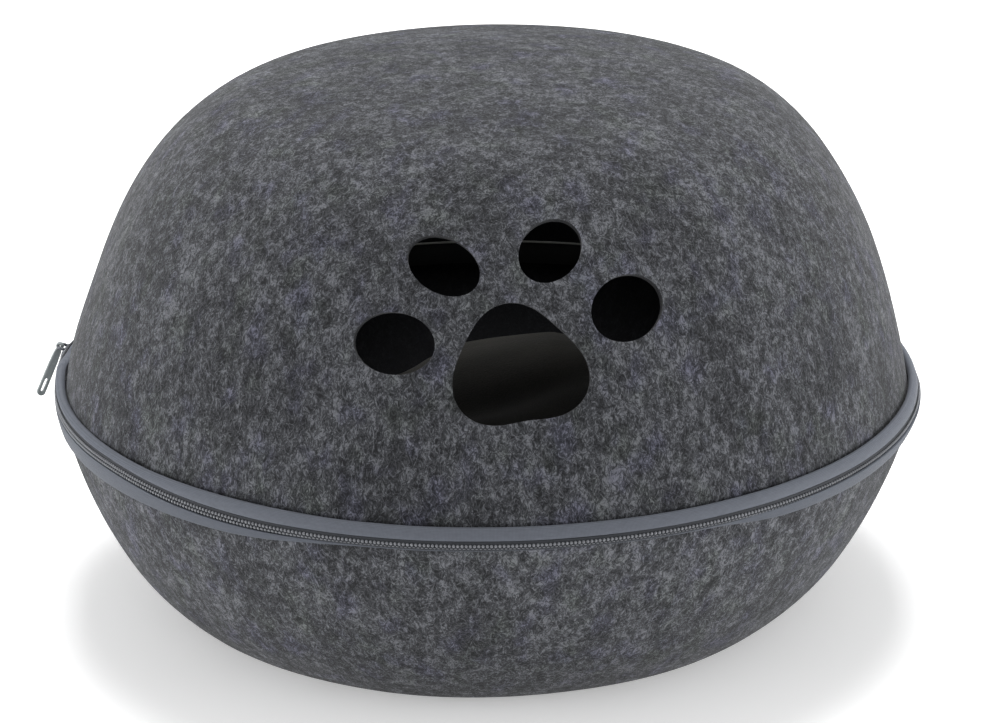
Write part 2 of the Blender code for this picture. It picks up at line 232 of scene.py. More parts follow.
def makeHeather(fibreLayer):
    tree, given, made = startGroup(
        "heather felt",
        [("Vector", "Vector", None), ("Normal", "Vector", None), ("Dark", "Color", None), ("Base", "Color", None), ("Light", "Color", None),
         ("Cut", "Float", 0.0), ("Inside", "Float", 0.0), ("Contrast", "Float", 1.0)],
        [("Color", "Color"), ("Height", "Float")],
    )
    drawn = calcVector(tree, "MULTIPLY", given["Vector"], (1.0, 1.0, 0.68))  # fibres run up the walls
    curl = calcVector(tree, "SUBTRACT", noiseAt(tree, drawn, 240.0, 1.0, "Color"), (0.5, 0.5, 0.5))
    curled = calcVector(tree, "ADD", drawn, calcVector(tree, "MULTIPLY", curl, (0.0034, 0.0034, 0.0034)))
    clumps = noiseAt(tree, curled, 195.0, 5.0, roughness=0.82)
    patches = noiseAt(tree, drawn, 24.0, 3.0)
    broad = noiseAt(tree, curled, 80.0, 2.0, roughness=0.7)
    grain = noiseAt(tree, curled, 900.0, 2.0, roughness=0.7)
    shade = calc(tree, "MULTIPLY_ADD", calc(tree, "SUBTRACT", clumps, 0.5), 3.7, 0.43)
    shade = calc(tree, "MULTIPLY_ADD", calc(tree, "SUBTRACT", patches, 0.5), 0.8, shade)
    shade = calc(tree, "MULTIPLY_ADD", calc(tree, "SUBTRACT", broad, 0.5), 0.6, shade)
    shade = calc(tree, "MULTIPLY_ADD", calc(tree, "SUBTRACT", grain, 0.5), 2.0, shade)
    height = grain
    layers = ((250.0, 0.00032, (3.1, 0.2, 1.7), 0.5), (350.0, 0.00030, (0.4, 5.3, 2.9), 0.5), (480.0, 0.00026, (7.7, 1.6, 0.3), 0.55))
    for scale, width, shift, cover in layers:
        layer = useGroup(tree, fibreLayer, {"Vector": curled, "Normal": given["Normal"], "Scale": scale, "Width": width, "Shift": shift})
        share = calc(tree, "MULTIPLY", layer["Mask"], cover)
        change = calc(tree, "SUBTRACT", spread(tree, layer["Tone"], 0.1, 0.9), shade)
        shade = calc(tree, "MULTIPLY_ADD", change, share, shade)
        height = calc(tree, "MULTIPLY_ADD", layer["Mask"], 0.5, height)
    shade = calc(tree, "MULTIPLY_ADD", calc(tree, "SUBTRACT", shade, 0.5), given["Contrast"], 0.5)
    lower = blendColor(tree, calc(tree, "MULTIPLY", shade, 2.0, clamp=True), given["Dark"], given["Base"])
    color = blendColor(tree, calc(tree, "MULTIPLY_ADD", shade, 2.0, -1.0, clamp=True), lower, given["Light"])
    cool = spread(tree, noiseAt(tree, curled, 60.0, 2.0), 0.5, 0.75)
    warm = spread(tree, noiseAt(tree, calcVector(tree, "ADD", curled, (4.0, 2.0, 9.0)), 60.0, 2.0), 0.5, 0.75)
    color = blendColor(tree, cool, color, calcVector(tree, "MULTIPLY", color, (0.97, 0.95, 1.14)))
    color = blendColor(tree, warm, color, calcVector(tree, "MULTIPLY", color, (0.98, 1.02, 0.93)))
    # cut faces: a lighter colour, partly raw felt and partly a painted highlight on the holes' rims
    paleFeltAndHighlight = blendColor(tree, 0.55, color, given["Light"])
    color = blendColor(tree, given["Cut"], color, paleFeltAndHighlight)
    # painted shade: inner faces get a darker, flatter colour that stands in for the shade inside the dome and bowl
    paintedInsideShade = calcVector(tree, "MULTIPLY", blendColor(tree, 0.75, color, given["Base"]), (0.36, 0.36, 0.37))
    color = blendColor(tree, given["Inside"], color, paintedInsideShade)
    fill(tree, made, Color=color, Height=height)
    return tree


def makeFelt(name, group, dark, base, light, contrast=1.0):
    material, tree, shader = startMaterial(name, Roughness=0.95, Specular_IOR_Level=0.15, Sheen_Weight=0.07, Sheen_Roughness=0.5)
    where = addNode(tree, "TexCoord").outputs
    # the cutEdge mark carries the lighter cut faces, partly a painted highlight
    cut = addNode(tree, "Attribute", attribute_name="cutEdge").outputs["Fac"]
    # the inside mark carries painted shade on the felt's inner faces
    inside = addNode(tree, "Attribute", attribute_name="inside").outputs["Fac"]
    inputs = {"Vector": where["Object"], "Normal": where["Normal"], "Dark": dark, "Base": base, "Light": light, "Cut": cut, "Inside": inside, "Contrast": contrast}
    look = useGroup(tree, group, inputs)
    tree.links.new(look["Color"], shader.inputs["Base Color"])
    addBump(tree, shader, look["Height"], 0.5, 0.0004)
    return material


def makeWeave():  # fine threads round the zip's ring and across it
    tree, given, made = startGroup(
        "fine weave",
        [("Vector", "Vector", None), ("Pitch", "Float", 0.0007), ("Thread", "Color", None), ("Gap", "Color", None), ("Streaks", "Float", 0.3)],
        [("Color", "Color"), ("Height", "Float")],
    )
    axes = addNode(tree, "SeparateXYZ", {0: given["Vector"]}).outputs
    turn = calc(tree, "ARCTAN2", axes[1], axes[0])
    along = calc(tree, "DIVIDE", calc(tree, "MULTIPLY", turn, zipRing["radius"]), given["Pitch"])
    across = calc(tree, "DIVIDE", axes[2], calc(tree, "MULTIPLY", given["Pitch"], 0.8))
    warp = calc(tree, "ABSOLUTE", calc(tree, "SINE", calc(tree, "MULTIPLY", along, math.pi)))
    weft = calc(tree, "ABSOLUTE", calc(tree, "SINE", calc(tree, "MULTIPLY", across, math.pi)))
    height = calc(tree, "MULTIPLY", calc(tree, "POWER", warp, 0.6), calc(tree, "POWER", weft, 0.6))
    threads = noiseAt(tree, calcVector(tree, "MULTIPLY", given["Vector"], (1.0, 1.0, 3.0)), 260.0, 2.0)
    color = blendColor(tree, spread(tree, height, 0.1, 0.9), given["Gap"], given["Thread"])
    change = calc(tree, "MULTIPLY_ADD", calc(tree, "SUBTRACT", threads, 0.5), given["Streaks"], 1.0)
    color = calcVector(tree, "MULTIPLY", color, addNode(tree, "CombineXYZ", {0: change, 1: change, 2: change}).outputs[0])
    fill(tree, made, Color=color, Height=height)
    return tree


def makeWoven(name, group, thread, gap, pitch=0.0007, sheen=0.04, streaks=0.3):
    material, tree, shader = startMaterial(name, Roughness=0.7, Specular_IOR_Level=0.3, Sheen_Weight=sheen, Sheen_Roughness=0.4)
    centre = addNode(tree, "Mapping", {"Vector": addNode(tree, "TexCoord").outputs["Object"], "Location": (-lean * zipRing["height"], 0, -zipRing["height"])})
    look = useGroup(tree, group, {"Vector": centre.outputs[0], "Pitch": pitch, "Thread": thread, "Gap": gap, "Streaks": streaks})
    tree.links.new(look["Color"], shader.inputs["Base Color"])
    addBump(tree, shader, look["Height"], 0.4, 0.00015)
    return material


def makeWear():
    tree, given, made = startGroup("wear", [("Vector", "Vector", None), ("Paint", "Color", None), ("Bare", "Color", None)], [("Color", "Color"), ("Worn", "Float"), ("Height", "Float")])
    rubbed = noiseAt(tree, given["Vector"], 420.0, 4.0, roughness=0.7)
    worn = spread(tree, rubbed, 0.58, 0.68)
    dust = noiseAt(tree, given["Vector"], 1500.0, 2.0)
    color = blendColor(tree, calc(tree, "MULTIPLY", worn, 0.7), given["Paint"], given["Bare"])
    fill(tree, made, Color=color, Worn=worn, Height=dust)
    return tree


def makeHard(name, group, paint, bare, roughness, metallic, strength=0.15):
    material, tree, shader = startMaterial(name, Metallic=metallic, Roughness=roughness)
    look = useGroup(tree, group, {"Vector": addNode(tree, "TexCoord").outputs["Object"], "Paint": paint, "Bare": bare})
    tree.links.new(look["Color"], shader.inputs["Base Color"])
    tree.links.new(spread(tree, look["Worn"], 0.0, 1.0, roughness, roughness - 0.12), shader.inputs["Roughness"])
    addBump(tree, shader, look["Height"], strength, 0.0002)
    return material


def makePile(name, base, light):
    material, tree, shader = startMaterial(name, Roughness=0.95, Specular_IOR_Level=0.1, Sheen_Weight=0.25, Sheen_Roughness=0.4)
    where = addNode(tree, "TexCoord").outputs["Object"]
    pile = noiseAt(tree, where, 900.0, 2.0)
    brushed = noiseAt(tree, where, 28.0, 3.0)
    mixed = calc(tree, "MULTIPLY_ADD", pile, 0.6, calc(tree, "MULTIPLY", brushed, 0.5))
    tree.links.new(blendColor(tree, spread(tree, mixed, 0.35, 0.8), base, light), shader.inputs["Base Color"])
    addBump(tree, shader, pile, 0.5, 0.0006)
    return material


fibreLayer = makeFibreLayer()
heather = makeHeather(fibreLayer)
weave = makeWeave()
wear = makeWear()
looks = {
    # the dome's felt is the bowl's felt made about 7% darker: painted shade that evens out the stronger light from
    # above on the dome
    "dome": makeFelt("grey heather felt, dome", heather, (0.012, 0.0125, 0.014, 1), (0.0385, 0.0402, 0.0448, 1), (0.117, 0.121, 0.134, 1)),
    "bowl": makeFelt("grey heather felt, bowl", heather, (0.012, 0.0125, 0.014, 1), (0.0412, 0.0430, 0.0478, 1), (0.125, 0.129, 0.142, 1)),
    "band": makeWoven("blue-grey woven band", weave, (0.098, 0.107, 0.129, 1), (0.069, 0.076, 0.093, 1)),
    "tape": makeWoven("blue-grey zip tape", weave, (0.068, 0.076, 0.094, 1), (0.046, 0.052, 0.065, 1)),
    # painted shade: the zip tape's inner side is the outer tape colour at about a third of its brightness, standing in
    # for the shade inside the dome
    "innerTape": makeWoven("zip tape inside, painted shade", weave, (0.026, 0.027, 0.029, 1), (0.017, 0.018, 0.019, 1)),
    "innerEdge": makeWoven("pale tape edge", weave, (0.52, 0.52, 0.50, 1), (0.42, 0.42, 0.40, 1)),
    "coil": makeHard("grey nylon coil", wear, (0.115, 0.120, 0.132, 1), (0.19, 0.195, 0.21, 1), 0.42, 0.0),
    # painted shade: the core's dark colour stands in for the shade in the groove and between the coil's beads
    "core": makeWoven("zip core, painted shade", weave, (0.030, 0.033, 0.040, 1), (0.018, 0.020, 0.024, 1)),
    "slider": makeHard("dark painted metal", wear, (0.045, 0.050, 0.060, 1), (0.16, 0.17, 0.18, 1), 0.42, 0.4),
    "pull": makeHard("blue-grey painted metal", wear, (0.26, 0.285, 0.29, 1), (0.38, 0.40, 0.40, 1), 0.42, 0.2),
    # a dark cloth, its colour darkened further as painted shade that stands in for the shade inside the dome
    "cushion": makePile("dark short-pile cloth", (0.0075, 0.0071, 0.0058, 1), (0.022, 0.0205, 0.0165, 1)),
}
print("materials ready")


def arcLine(radius, height, tilt, arcs):  # tangent arcs that turn towards the axis
    points = [(radius, height)]
    for turn, size in arcs:
        steps = max(2, math.ceil(math.radians(turn) * size / felt["rowLength"]))
        step = turn / steps
        chord = 2 * size * math.sin(math.radians(step / 2))
        for _ in range(steps):
            middle = math.radians(tilt + step / 2)
            radius -= chord * math.sin(middle)
            height += chord * math.cos(middle)
            tilt += step
            points.append((radius, height))
    return points, tilt


domeShape = {"rimRadius": 0.2424, "rimAboveZip": 0.0023, "rimTilt": 11.0, "arcs": ((9, 0.490), (16, 0.236), (18, 0.125), (24, 0.095))}
bowlShape = {"rimRadius": 0.2465, "rimBelowZip": 0.0023, "rimTilt": 12.0, "arcs": ((18, 0.267), (20, 0.127), (20, 0.024), (20, 0.077))}
toes = (  # azimuth, height above the zip, length, width, turn
    (-13.5, 0.0950, 0.0415, 0.0310, -3.0),
    (-7.5, 0.1310, 0.0395, 0.0280, -31.0),
    (8.9, 0.1370, 0.0365, 0.0290, 48.0),
    (19.5, 0.1085, 0.0395, 0.0325, 21.0),
)
padHole = {"azimuth": 3.6, "height": 0.0845, "radius": 0.0322, "widen": 0.062, "lobes": 0.107, "turn": 8.6}
entrance = {"azimuth": 180.0, "height": 0.104, "width": 0.160}
holes = {"toeCorners": 64, "padCorners": 96, "entranceCorners": 120, "depth": 0.060, "ease": 1.03}


def domeLine():
    points, tilt = arcLine(domeShape["rimRadius"], domeShape["rimAboveZip"], domeShape["rimTilt"], domeShape["arcs"])
    radius, height = points[-1]
    crown, _ = arcLine(radius, height, tilt, [(90 - tilt, radius / math.cos(math.radians(tilt)))])
    crown[-1] = (0.0, crown[-1][1])
    return points + crown[1:]


def bowlLine():
    points, _ = arcLine(bowlShape["rimRadius"], bowlShape["rimBelowZip"], bowlShape["rimTilt"], bowlShape["arcs"])
    line = [(radius, zipRing["height"] - depth) for radius, depth in points]
    line[-1] = (line[-1][0], 0.0)
    flat = line[-1][0]
    steps = math.ceil(flat / (2 * felt["rowLength"]))
    return line + [(flat * (1 - index / steps), 0.0) for index in range(1, steps + 1)]


def wallFrame(azimuth, height):  # on the dome's wall: X level, Y up the wall, Z straight out
    line = domeLine()
    for (r0, z0), (r1, z1) in zip(line, line[1:]):
        if z0 <= height <= z1:
            radius = r0 + (height - z0) / (z1 - z0) * (r1 - r0)
            tilt = math.atan2(r0 - r1, z1 - z0)
    turn = math.radians(azimuth)
    up = zipRing["height"] + height
    place = Vector((lean * up + radius * math.sin(turn), -radius * math.cos(turn), up))
    return Matrix.Translation(place) @ Matrix.Rotation(turn, 4, "Z") @ Matrix.Rotation(math.pi / 2 - tilt, 4, "X")


def ellipse(long, short, turn, corners):
    points = []
    slope = math.radians(turn)
    for index in range(corners):
        angle = 2 * math.pi * index / corners
        x, y = long / 2 * math.cos(angle), short / 2 * math.sin(angle)
        points.append((x * math.cos(slope) - y * math.sin(slope), x * math.sin(slope) + y * math.cos(slope)))
    return points


def padOutline():
    points = []
    for index in range(holes["padCorners"]):
        angle = 2 * math.pi * index / holes["padCorners"]
        fromTop = angle - math.radians(90 + padHole["turn"])
        size = padHole["radius"] * (1 + padHole["widen"] * math.cos(2 * angle) + padHole["lobes"] * math.cos(3 * fromTop))
        points.append((size * math.cos(angle), size * math.sin(angle)))
    return points


def makePlate(name, outline, thickness):  # a filled outline, extruded
    deselectAll()
    bpy.ops.mesh.primitive_circle_add(vertices=len(outline), radius=1, fill_type="NGON")
    plate = bpy.context.object
    plate.name = plate.data.name = name
    for vertex, (x, y) in zip(plate.data.vertices, outline):
        vertex.co = (x, y, -thickness / 2)
    editAll(plate)
    bpy.ops.mesh.extrude_region_move(TRANSFORM_OT_translate={"value": (0, 0, thickness)})
    bpy.ops.mesh.select_all(action="SELECT")
    bpy.ops.mesh.normals_make_consistent(inside=False)
    bpy.ops.object.mode_set(mode="OBJECT")
    return plate


def cutAway(piece, cutter):
    addModifier(piece, "BOOLEAN", operation="DIFFERENCE", solver="EXACT", object=cutter)
    bpy.data.objects.remove(cutter, do_unlink=True)


def makeShell(name, line):
    shell = drawProfile(name, [(radius, 0.0, height) for radius, height in line])
    spinRound(shell, felt["segments"])
    for vertex in shell.data.vertices:  # the dome is a little fuller at its upper left
        toLeft = min(1.0, max(0.0, -vertex.co.x / 0.2))
        vertex.co.x -= felt["fuller"] * toLeft * math.exp(-0.5 * ((vertex.co.z - 0.255) / 0.032) ** 2)
        nearEnd = min(1.0, max(0.0, (-vertex.co.x - 0.19) / 0.035)) * (vertex.co.z > zipRing["height"])
        vertex.co.x -= felt["rimFuller"] * nearEnd * math.exp(-0.5 * ((vertex.co.z - 0.148) / 0.022) ** 2)
    for vertex in shell.data.vertices:
        vertex.co += vertex.normal * felt["uneven"] * noise.noise(vertex.co * 13) * (vertex.co.z > 0.004)
    addModifier(shell, "SOLIDIFY", thickness=felt["thickness"], offset=-1, use_even_offset=True)
    leanOver(shell)
    return shell


def markCuts(piece, places):  # the cut faces are painted lighter: partly the paler raw felt of a cut edge, partly a painted highlight for the light the holes' fuzzy rims catch
    mark = piece.data.attributes.new("cutEdge", "FLOAT", "FACE")
    backs = [(place.inverted(), reach) for place, reach in places]
    for polygon in piece.data.polygons:
        for back, reach in backs:
            centre = back @ polygon.center
            if math.hypot(centre.x, centre.y) < reach and abs(centre.z) < holes["depth"] / 2:
                if abs((back.to_3x3() @ polygon.normal).z) < 0.5:
                    mark.data[polygon.index].value = 1.0


def markInsidePaintedShade(piece):  # the smoother inner face of the felt, with painted shade: its colour is darkened to stand in for the shade inside the dome and bowl
    mark = piece.data.attributes.new("inside", "FLOAT", "FACE")
    middle = Vector((lean * zipRing["height"], 0, zipRing["height"]))
    for polygon in piece.data.polygons:
        if polygon.normal.dot(polygon.center - middle) < 0:
            mark.data[polygon.index].value = 1.0


feltDome = makeShell("feltDome", [(radius, zipRing["height"] + height) for radius, height in domeLine()])
places = []
for azimuth, height, long, short, turn in toes:
    places.append((wallFrame(azimuth, height), 0.6 * long))
    cutter = makePlate("toeCutter", ellipse(long * holes["ease"], short * holes["ease"], turn, holes["toeCorners"]), holes["depth"])
    cutter.matrix_world = places[-1][0]
    cutAway(feltDome, cutter)
places.append((wallFrame(padHole["azimuth"], padHole["height"]), 1.3 * padHole["radius"]))
cutter = makePlate("padCutter", padOutline(), holes["depth"])
cutter.matrix_world = places[-1][0]
cutAway(feltDome, cutter)
places.append((wallFrame(entrance["azimuth"], entrance["height"]), 0.55 * entrance["width"]))
cutter = makePlate("entranceCutter", ellipse(entrance["width"], entrance["width"], 0, holes["entranceCorners"]), holes["depth"])
cutter.matrix_world = places[-1][0]
cutAway(feltDome, cutter)
markCuts(feltDome, places)
markInsidePaintedShade(feltDome)
smooth(feltDome)
finishPiece(feltDome, "dome", looks["dome"])

feltBowl = makeShell("feltBowl", bowlLine())
markInsidePaintedShade(feltBowl)
smooth(feltBowl)
finishPiece(feltBowl, "bowl", looks["bowl"])
print("felt shells ready")

bandShape = (  # radius, height above the zip
    (0.2430, 0.0084), (0.2435, 0.0091), (0.2444, 0.0092), (0.2456, 0.0085), (0.2467, 0.0073), (0.2476, 0.0058),
    (0.2481, 0.0042), (0.2483, 0.0029), (0.2481, 0.0021), (0.2445, 0.0020), (0.2430, 0.0030), (0.2424, 0.0060),
)
tapeShape = (
    (0.2490, -0.0036), (0.2495, -0.0039), (0.2495, -0.0048), (0.2490, -0.0064), (0.2483, -0.0080), (0.2477, -0.0092),
    (0.2471, -0.0096), (0.2463, -0.0095), (0.2464, -0.0086), (0.2470, -0.0064), (0.2475, -0.0042), (0.2479, -0.0037),
)
innerShape = ((0.2377, 0.0056), (0.2369, 0.0058), (0.2366, 0.0040), (0.2366, -0.0080), (0.2370, -0.0088), (0.2376, -0.0086), (0.2373, 0.0020))
edgeShape = ((0.2372, 0.0062), (0.2366, 0.0066), (0.2360, 0.0062), (0.2360, 0.0056), (0.2366, 0.0052), (0.2372, 0.0056))
coreShape = ((0.2470, 0.0016), (0.2478, 0.0017), (0.2482, 0.0004), (0.2484, -0.0014), (0.2482, -0.0030), (0.2474, -0.0034), (0.2470, -0.0030))
ringSteps = 288


def atFront(x, y):  # 1 across the front of the ring, falling to 0 at its sides
    fromFront = (math.degrees(math.atan2(y, x)) + 85 + 180) % 360 - 180
    return 1 / (1 + math.exp((abs(fromFront) - 29) / 3.5))


def climb(x, y):  # the zip rides up towards its end on the left
    turn = (math.degrees(math.atan2(y, x)) + 168 + 180) % 360 - 180
    return 0.0050 * math.exp(-0.5 * (max(0.0, abs(turn) - 20) / 13) ** 2)


def rideUp(piece, still, moving):  # nothing moves at one height above the zip, all of the climb at the other
    for vertex in piece.data.vertices:
        share = (vertex.co.z - zipRing["height"] - still) / (moving - still)
        vertex.co.z += climb(vertex.co.x, vertex.co.y) * min(1.0, max(0.0, share))


def makeRing(name, section, uneven=0.0):
    ring = drawProfile(name, [(radius, 0.0, zipRing["height"] + height) for radius, height in section], closed=True)
    spinRound(ring, ringSteps)
    for vertex in ring.data.vertices:
        vertex.co += Vector((vertex.co.x, vertex.co.y, 0)).normalized() * uneven * noise.noise(vertex.co * 30)
    leanOver(ring)
    standOut(ring)
    smooth(ring, 50)
    return ring


def drawIn(piece, bottom, radius, height, where=atFront):  # the part of a ring above or below a height closes up across the front
    for vertex in piece.data.vertices:
        share = where(vertex.co.x, vertex.co.y)
        above = vertex.co.z - zipRing["height"] - bottom
        vertex.co.z -= above * height * share
        outward = Vector((vertex.co.x, vertex.co.y, 0)).normalized()
        vertex.co -= outward * radius * share


def atRight(x, y):
    turn = (math.degrees(math.atan2(y, x)) + 20 + 180) % 360 - 180
    return 1 / (1 + math.exp((abs(turn) - 36) / 4))


def nearSlider(x, y, middle, reach, fall):
    turn = (math.degrees(math.atan2(y, x)) - middle + 180) % 360 - 180
    return 1 / (1 + math.exp((abs(turn) - reach) / fall))


wovenBand = makeRing("wovenBand", bandShape, 0.0003)
drawIn(wovenBand, 0.0020, 0.0, 0.16)
drawIn(wovenBand, 0.0020, 0.0, 0.18, atRight)
for vertex in wovenBand.data.vertices:  # towards the slider the band stands steeper, and past it the band ends
    above = vertex.co.z - zipRing["height"] - 0.0021
    outward = Vector((vertex.co.x, vertex.co.y, 0)).normalized()
    steeper = nearSlider(vertex.co.x, vertex.co.y, 181, 18, 4)
    vertex.co += outward * 0.0022 * steeper * min(1.0, max(0.0, above / 0.006))
    ended = nearSlider(vertex.co.x, vertex.co.y, 162, 15, 1.2)
    vertex.co.z -= above * 0.90 * ended
    vertex.co -= outward * 0.0030 * ended
rideUp(wovenBand, 0.0092, 0.0020)
finishPiece(wovenBand, "zip_band_upper", looks["band"])
lowerTape = makeRing("lowerTape", tapeShape, 0.0003)
drawIn(lowerTape, -0.0036, 0.0030, 0.75)
rideUp(lowerTape, -0.0092, -0.0040)
for vertex in lowerTape.data.vertices:  # on the right the tape covers the lower beads
    share = min(1.0, max(0.0, (vertex.co.z - zipRing["height"] + 0.0085) / 0.0045)) * atRight(vertex.co.x, vertex.co.y)
    vertex.co.z += 0.0022 * share
    vertex.co += Vector((vertex.co.x, vertex.co.y, 0)).normalized() * 0.0008 * share
finishPiece(lowerTape, "zip_tape_lower", looks["tape"])
innerTape = makeRing("innerTape", innerShape)
finishPiece(innerTape, "zip_tape_lower", looks["innerTape"])
innerEdge = makeRing("innerEdge", edgeShape)
finishPiece(innerEdge, "zip_tape_lower", looks["innerEdge"])
coilCore = makeRing("coilCore", coreShape)
rideUp(coilCore, -0.0060, -0.0030)
finishPiece(coilCore, "zip_coil", looks["core"])

beads = {"count": 730, "along": 0.0017, "out": 0.0013, "across": 0.0018, "segments": 8, "rings": 6}
beadRows = ((0.2489, -0.0003, 0.0, 12), (0.2491, -0.0023, 0.5, -12))  # radius, height, share of a pitch, slant


def repeatRound(piece, count):
    deselectAll()
    bpy.ops.object.empty_add(location=(0, 0, 0))
    turner = bpy.context.object
    turner.rotation_euler.z = 2 * math.pi / count
    bpy.context.view_layer.update()
    addModifier(piece, "ARRAY", fit_type="FIXED_COUNT", count=count, use_relative_offset=False, use_object_offset=True, offset_object=turner)
    bpy.data.objects.remove(turner, do_unlink=True)


def makeBeadRow(name, radius, height, share, slant):
    deselectAll()
    bpy.ops.mesh.primitive_uv_sphere_add(segments=beads["segments"], ring_count=beads["rings"], radius=0.5)
    row = bpy.context.object
    row.name = row.data.name = name
    size = Matrix.Diagonal((beads["out"], beads["along"], beads["across"], 1))
    angle = 2 * math.pi * share / beads["count"]
    place = Matrix.Rotation(angle, 4, "Z") @ Matrix.Translation((radius, 0, zipRing["height"] + height))
    row.data.transform(place @ Matrix.Rotation(math.radians(slant), 4, "X") @ size)
    repeatRound(row, beads["count"])
    return row


rows = [makeBeadRow("coilRow", *row) for row in beadRows]
coilBeads = joinPieces(rows[0], rows[1:])
coilBeads.name = coilBeads.data.name = "coilBeads"
for vertex in coilBeads.data.vertices:  # the lower row rolls in under the upper one across the front
    below = max(0.0, zipRing["height"] - 0.0014 - vertex.co.z)
    vertex.co -= Vector((vertex.co.x, vertex.co.y, 0)).normalized() * 0.5 * below * atRight(vertex.co.x, vertex.co.y)
    vertex.co -= Vector((vertex.co.x, vertex.co.y, 0)).normalized() * 1.6 * below * atFront(vertex.co.x, vertex.co.y)
rideUp(coilBeads, -0.0100, -0.0080)
leanOver(coilBeads)
standOut(coilBeads)
smooth(coilBeads, 60)
finishPiece(coilBeads, "zip_coil", looks["coil"])
print("zip rings ready")

sliderPlace = {"azimuth": 170.0, "radius": 0.2551, "aboveZip": 0.0002, "tilt": 15.0}
sliderShape = {"along": 0.0120, "out": 0.0026, "across": 0.0094, "rounding": 0.0008, "nose": 0.72}
bridgeShape = {"offset": 0.0040, "along": 0.0068, "out": 0.0035, "bar": 0.00070, "thick": 0.0013, "wide": 0.0016}
pullShape = {"thickness": 0.0014, "length": 0.0322, "head": 0.0022, "hole": 0.00100, "collar": 0.0023, "collarHalf": 0.0015, "tip": 0.0027, "swing": 210.0, "droop": 27.6, "edge": 0.00035}
pullSides = ((0.0034, 0.0020), (0.0070, 0.0023), (0.0110, 0.0025))  # along, half width
pullSlot = {"start": 0.0220, "end": 0.0285, "halfWidth": 0.0009}


def sliderFrame():
    turn = math.radians(sliderPlace["azimuth"])
    up = zipRing["height"] + sliderPlace["aboveZip"]
    place = Vector((lean * zipRing["height"] + sliderPlace["radius"] * math.cos(turn), sliderPlace["radius"] * math.sin(turn), up))
    facing = Matrix.Rotation(turn + math.pi / 2, 4, "Z") @ Matrix.Rotation(math.radians(90 - sliderPlace["tilt"]), 4, "X")
    return Matrix.Translation(place) @ facing


def makeBlock(name, along, across, low, high):
    deselectAll()
    bpy.ops.mesh.primitive_cube_add(size=1, location=(0, 0, 0))
    block = bpy.context.object
    block.name = block.data.name = name
    editAll(block)
    bpy.ops.transform.resize(value=(along, across, high - low))
    bpy.ops.transform.translate(value=(0, 0, (high + low) / 2))
    bpy.ops.object.mode_set(mode="OBJECT")
    return block


half = sliderShape["out"] / 2
slider = makeBlock("zipSlider", sliderShape["along"], sliderShape["across"], -half, half)
editAll(slider)
bpy.ops.mesh.subdivide(number_cuts=3)
bpy.ops.object.mode_set(mode="OBJECT")
for vertex in slider.data.vertices:  # the body narrows towards its nose and its face is crowned
    toNose = max(0.0, vertex.co.x / (sliderShape["along"] / 2))
    vertex.co.y *= 1 - (1 - sliderShape["nose"]) * toNose ** 2
    if vertex.co.z > 0:
        vertex.co.z -= 0.0006 * (2 * vertex.co.y / sliderShape["across"]) ** 2
addModifier(slider, "BEVEL", width=0.0005, segments=3, limit_method="ANGLE", angle_limit=math.radians(50))
top = half + bridgeShape["out"]
reach = bridgeShape["along"] / 2
archPoints = [(-reach + 0.0008, half - 0.0012), (-reach + 0.0002, half + 0.0012), (-reach + 0.0004, top - 0.0016), (-reach + 0.0014, top - 0.0004), (-reach + 0.0030, top)]
archPoints += [(-x, z) for x, z in reversed(archPoints)]
bridge = drawProfile("bridge", [(x, bridgeShape["offset"] - bridgeShape["wide"] / 2, z) for x, z in archPoints])
editAll(bridge)
bpy.ops.mesh.extrude_region_move(TRANSFORM_OT_translate={"value": (0, bridgeShape["wide"], 0)})
bpy.ops.mesh.select_all(action="SELECT")
bpy.ops.mesh.normals_make_consistent(inside=False)
bpy.ops.object.mode_set(mode="OBJECT")
addModifier(bridge, "SOLIDIFY", thickness=bridgeShape["thick"], offset=-1 if bridge.data.polygons[4].normal.z > 0 else 1)
addModifier(bridge, "BEVEL", width=0.0002, segments=2, limit_method="ANGLE", angle_limit=math.radians(50))
zipSlider = joinPieces(slider, [bridge])
zipSlider.data.transform(sliderFrame())
smooth(zipSlider, 40)
finishPiece(zipSlider, "zip_slider", looks["slider"])


def pullOutline():
    along, width = pullSides[0]
    headEnd = math.atan2(width, along)
    side = []
    for index in range(14):
        angle = math.pi + (headEnd - math.pi) * index / 14
        side.append((pullShape["head"] * math.cos(angle), pullShape["head"] * math.sin(angle)))
    side += list(pullSides)
    for index in range(9):
        angle = math.pi / 2 * (1 - index / 8)
        side.append((pullShape["length"] - pullShape["tip"] + pullShape["tip"] * math.cos(angle), pullShape["tip"] * math.sin(angle)))
    return side + [(x, -y) for x, y in reversed(side[1:-1])]


def slotOutline():
    points = []
    for centre, start in ((pullSlot["end"], -90), (pullSlot["start"], 90)):
        for index in range(9):
            angle = math.radians(start + 22.5 * index)
            points.append((centre + pullSlot["halfWidth"] * math.cos(angle), pullSlot["halfWidth"] * math.sin(angle)))
    return points


zipPull = makePlate("zipPull", pullOutline(), pullShape["thickness"])
cutAway(zipPull, makePlate("slot", slotOutline(), 0.01))
swing, droop = math.radians(pullShape["swing"]), math.radians(pullShape["droop"])
level = Vector((math.cos(swing), math.sin(swing), 0))
along = math.sin(droop) * level - math.cos(droop) * Vector((0, 0, 1))
across = math.cos(droop) * level + math.sin(droop) * Vector((0, 0, 1))
facing = Matrix((along, across, along.cross(across))).transposed().to_4x4()
barPlace = sliderFrame() @ Matrix.Translation((0, bridgeShape["offset"], top - bridgeShape["bar"])) @ Matrix.Rotation(math.radians(90), 4, "Y")
eye = makePlate("eye", ellipse(2 * pullShape["hole"], 2 * pullShape["hole"], 0, 28), 0.012)
eye.matrix_world = facing.inverted() @ barPlace.to_3x3().to_4x4()
cutAway(zipPull, eye)
addModifier(zipPull, "BEVEL", width=pullShape["edge"], segments=3, limit_method="ANGLE", angle_limit=math.radians(50))
zipPull.data.transform(Matrix.Translation(barPlace.translation) @ facing)
